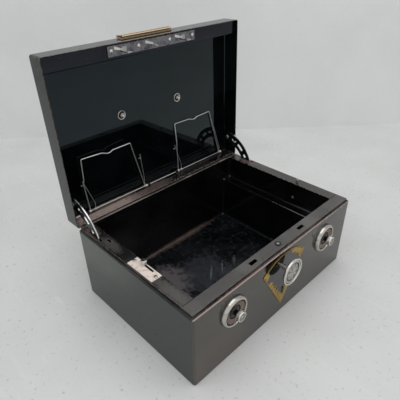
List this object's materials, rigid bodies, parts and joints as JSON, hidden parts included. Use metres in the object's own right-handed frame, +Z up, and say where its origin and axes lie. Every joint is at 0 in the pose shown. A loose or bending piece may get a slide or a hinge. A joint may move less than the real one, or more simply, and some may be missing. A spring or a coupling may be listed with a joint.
{
  "type": "strongbox",
  "caption": "Flat hand-carried sheet-steel strongbox with a hinged lid standing open, combination dials, a centre turn knob, a key lock, lid stays and paper bails.",
  "frame": {"origin": "middle of the case's base, on the surface that the box stands on", "axes": "+Z up, +X to the right of someone facing the front, +Y from the front face towards the hinge"},
  "size_m": [0.4, 0.3479, 0.423],
  "materials": {
    "lacquer": "gloss",
    "rim_enamel": "satin",
    "nickel": "polished",
    "steel": "satin",
    "brass": "satin",
    "dial_enamel": "satin"
  },
  "bodies": {
    "case": {"body_shell": "lacquer", "liner": "lacquer", "rim_front": "rim_enamel", "rim_left": "rim_enamel", "rim_right": "rim_enamel", "rim_back": "rim_enamel", "hinge_body_leaf": "steel", "hinge_pin": "steel", "shield_plate": "brass", "dial_ring_left": "nickel", "dial_ring_right": "nickel", "dial_bush_left": "brass", "dial_bush_right": "brass", "centre_bush": "brass", "lock_case": "steel", "key_lock_case": "steel", "button_guide": "nickel", "button_spring": "steel", "switch_plate": "nickel", "switch_screw_front": "nickel", "switch_screw_back": "nickel", "plunger_bracket": "steel", "plunger_spring": "steel", "bell_bracket": "steel", "bell_gong": "brass"},
    "lid": {"lid_shell": "lacquer", "lid_front_channel": "lacquer", "strike_plate": "nickel", "hook_left": "steel", "hook_right": "steel", "hinge_lid_leaf": "steel", "handle_ear_left": "nickel", "handle_ear_right": "nickel", "handle_nut_left": "nickel", "handle_nut_right": "nickel", "bail_strip_left": "nickel", "bail_strip_right": "nickel", "stay_rivet_left": "nickel", "stay_rivet_right": "nickel", "pull_plate": "brass"},
    "stay_arm_left": {"stay_left": "steel"},
    "stay_arm_right": {"stay_right": "steel"},
    "paper_bail_left": {"bail_left": "nickel"},
    "paper_bail_right": {"bail_right": "nickel"},
    "handle": {"carry_handle": "nickel"},
    "pull": {"pull_flap": "brass"},
    "dial_left": {"dial_face_left": "dial_enamel", "dial_knob_left": "nickel", "dial_tumbler_left": "brass"},
    "dial_right": {"dial_face_right": "dial_enamel", "dial_knob_right": "nickel", "dial_tumbler_right": "brass"},
    "turn_knob": {"centre_knob": "nickel", "centre_crank": "steel"},
    "bolt": {"lock_bolt": "steel"},
    "key_slide": {"key_bolt": "steel"},
    "button": {"centre_button": "nickel"},
    "switch": {"switch_knob": "nickel"},
    "plunger": {"lid_plunger": "nickel"},
    "hammer": {"bell_hammer": "steel"}
  },
  "joints": [
    {"name": "lid_hinge", "type": "hinge", "parent": "case", "child": "lid", "pos_m": [0, 0.14, 0.14], "axis": [1, 0, 0], "range_deg": [0, 91]},
    {"name": "stay_left_pivot", "type": "hinge", "parent": "lid", "child": "stay_arm_left", "pos_m": [-0.1906, 0.15618, 0.17902], "axis": [1, 0, 0], "range_deg": [-32, 0]},
    {"name": "stay_right_pivot", "type": "hinge", "parent": "lid", "child": "stay_arm_right", "pos_m": [0.1906, 0.15618, 0.17902], "axis": [1, 0, 0], "range_deg": [-32, 0]},
    {"name": "bail_left_pivot", "type": "hinge", "parent": "lid", "child": "paper_bail_left", "pos_m": [-0.096, 0.16608, 0.14435], "axis": [1, 0, 0], "range_deg": [0, 60]},
    {"name": "bail_right_pivot", "type": "hinge", "parent": "lid", "child": "paper_bail_right", "pos_m": [0.114, 0.16608, 0.14435], "axis": [1, 0, 0], "range_deg": [0, 60]},
    {"name": "handle_pivot", "type": "hinge", "parent": "lid", "child": "handle", "pos_m": [0, 0.183, 0.29427], "axis": [1, 0, 0], "range_deg": [0, 180]},
    {"name": "pull_pivot", "type": "hinge", "parent": "lid", "child": "pull", "pos_m": [0, 0.17612, 0.42131], "axis": [-1, 0, 0], "range_deg": [0, 110]},
    {"name": "dial_left_turn", "type": "hinge", "parent": "case", "child": "dial_left", "pos_m": [-0.12, -0.139, 0.0965], "axis": [0, -1, 0], "continuous": true},
    {"name": "dial_right_turn", "type": "hinge", "parent": "case", "child": "dial_right", "pos_m": [0.12, -0.139, 0.0965], "axis": [0, -1, 0], "continuous": true},
    {"name": "knob_turn", "type": "hinge", "parent": "case", "child": "turn_knob", "pos_m": [0, -0.139, 0.104], "axis": [0, -1, 0], "range_deg": [0, 45]},
    {"name": "bolt_slide", "type": "slide", "parent": "case", "child": "bolt", "axis": [-1, 0, 0], "range_m": [0, 0.005]},
    {"name": "key_bolt_slide", "type": "slide", "parent": "case", "child": "key_slide", "axis": [0, 0, 1], "range_m": [0, 0.006]},
    {"name": "button_slide", "type": "slide", "parent": "case", "child": "button", "axis": [0, 0, -1], "range_m": [0, 0.001], "stiffness_N_per_m": 400, "springref_m": -0.002, "deforming": ["button_spring"]},
    {"name": "switch_slide", "type": "slide", "parent": "case", "child": "switch", "axis": [0, -1, 0], "range_m": [0, 0.02]},
    {"name": "plunger_slide", "type": "slide", "parent": "case", "child": "plunger", "axis": [0, 0, -1], "range_m": [0, 0.004], "stiffness_N_per_m": 300, "springref_m": -0.003, "deforming": ["plunger_spring"]},
    {"name": "hammer_pivot", "type": "hinge", "parent": "case", "child": "hammer", "pos_m": [-0.182, 0.03, 0.102], "axis": [-1, 0, 0], "range_deg": [0, 5]}
  ],
  "couplings": [
    {"joint": "stay_left_pivot", "follows": "lid_hinge", "ratio": -0.35},
    {"joint": "stay_right_pivot", "follows": "lid_hinge", "ratio": -0.35},
    {"joint": "bolt_slide", "follows": "knob_turn", "m_per_rad": 0.006366}
  ]
}
